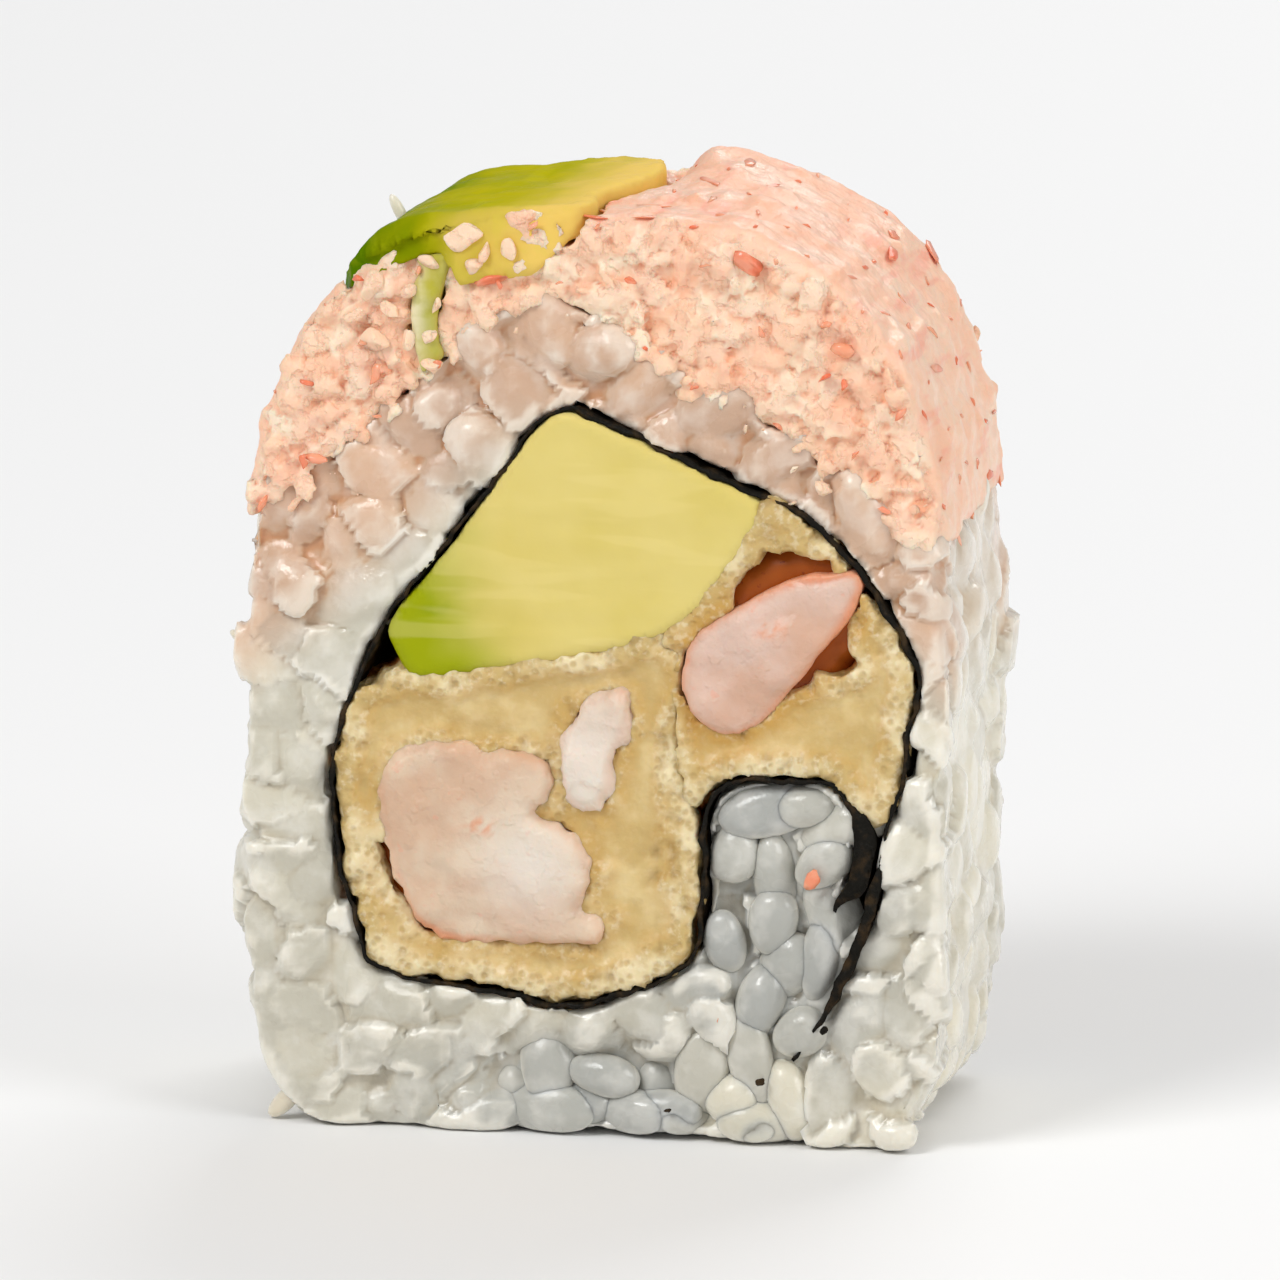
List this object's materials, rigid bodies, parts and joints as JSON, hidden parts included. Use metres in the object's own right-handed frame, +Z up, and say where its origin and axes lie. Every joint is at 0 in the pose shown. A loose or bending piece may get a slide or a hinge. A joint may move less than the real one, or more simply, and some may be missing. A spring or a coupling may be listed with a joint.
{
  "type": "uramaki roll piece",
  "caption": "Cut piece of an inside-out rice roll standing on its rolled side: rice round seaweed, avocado and battered shrimp, with a crab and avocado topping.",
  "frame": {"origin": "centre of the flat base that the piece rests on, at the bounding box's bottom centre", "axes": "+Z up from the base, Y along the roll's own axis with the front cut face towards -Y, +X to the right of that face"},
  "size_m": [0.0414, 0.0222, 0.0521],
  "materials": {
    "rice": "moist cooked rice",
    "seaweed": "crinkled dried seaweed sheet",
    "avocado_flesh": "smooth cut avocado",
    "avocado_slice": "thin moist avocado slice",
    "batter": "porous fried batter",
    "shrimp": "moist cooked shrimp",
    "crab": "moist shredded crab"
  },
  "bodies": {
    "root": {"rice": "rice", "nori": "seaweed", "avocado_filling": "avocado_flesh", "batter_large": "batter", "batter_small": "batter", "shrimp_large": "shrimp", "shrimp_scrap": "shrimp", "shrimp_small": "shrimp", "crab_topping": "crab", "avocado_slice_top": "avocado_slice", "avocado_slice_edge": "avocado_slice"}
  },
  "joints": []
}
